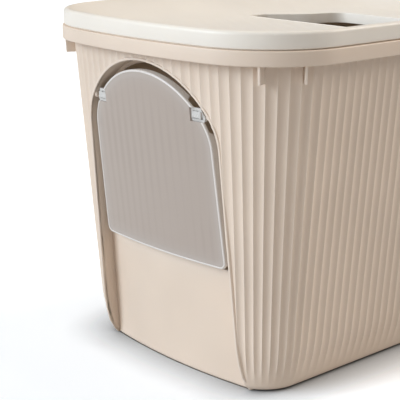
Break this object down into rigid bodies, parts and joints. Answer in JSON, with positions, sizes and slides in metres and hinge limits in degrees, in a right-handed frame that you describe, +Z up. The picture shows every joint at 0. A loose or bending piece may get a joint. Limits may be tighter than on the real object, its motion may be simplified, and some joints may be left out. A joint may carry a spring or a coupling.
{
  "type": "top entry litter box",
  "caption": "Plastic litter box with a fluted tub, a dished lift-off lid with an entry hole on top, and an arched doorway closed by a swing flap.",
  "frame": {"origin": "middle of the flat underside, on the floor", "axes": "+Z up, the doorway and its flap face -Y, +X is on the right of someone who looks at the flap from outside"},
  "size_m": [0.3894, 0.5794, 0.39],
  "materials": {
    "tub_plastic": "satin moulded",
    "lid_plastic": "satin moulded",
    "flap_plastic": "smoke-grey, slightly see-through",
    "clip_plastic": "clear"
  },
  "bodies": {
    "tub": {"tub": "tub_plastic"},
    "lid": {"lid": "lid_plastic"},
    "flap": {"flap": "flap_plastic", "hinge_clip_left": "clip_plastic", "hinge_clip_right": "clip_plastic"}
  },
  "joints": [
    {"name": "lid_lift", "type": "slide", "parent": "tub", "child": "lid", "axis": [0, 0, 1], "range_m": [0, 0.06]},
    {"name": "flap_swing", "type": "hinge", "parent": "tub", "child": "flap", "pos_m": [0, -0.25821, 0.3], "axis": [1, 0, 0], "range_deg": [-70, 70]}
  ]
}
